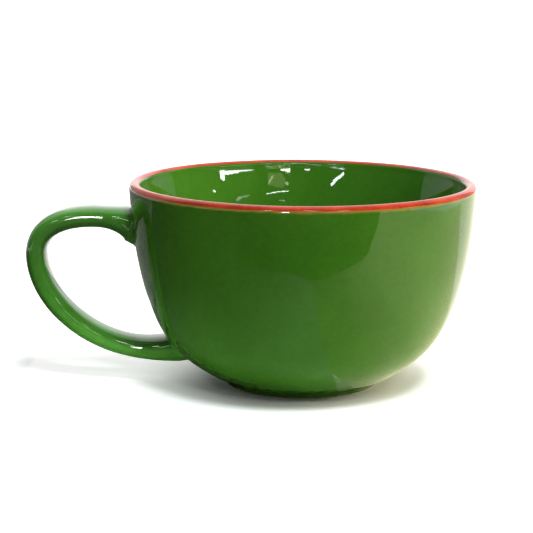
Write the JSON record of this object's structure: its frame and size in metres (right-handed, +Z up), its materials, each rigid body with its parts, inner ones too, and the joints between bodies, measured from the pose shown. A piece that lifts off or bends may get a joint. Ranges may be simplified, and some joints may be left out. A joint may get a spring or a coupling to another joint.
{
  "type": "soup mug",
  "caption": "Wide soup mug with a rounded bowl, a low turned foot and a strap handle luted to the wall, glazed green with a red band over the lip.",
  "frame": {"origin": "centre of the foot's bearing edge, on the axis of the bowl, at table height", "axes": "+Z up along the axis of the bowl, -X towards the handle, +Y across the handle's plane"},
  "size_m": [0.1695, 0.13, 0.077],
  "materials": {
    "green_glaze": "glossy",
    "red_glaze": "glossy",
    "clay": "matte",
    "slip": "matte"
  },
  "bodies": {
    "root": {"bowl": "clay", "foot_ring": "clay", "handle": "clay", "upper_joint": "slip", "lower_joint": "slip", "outer_glaze": "green_glaze", "inner_glaze": "green_glaze", "lip_glaze": "red_glaze", "handle_glaze": "green_glaze", "base_glaze": "green_glaze"}
  },
  "joints": []
}
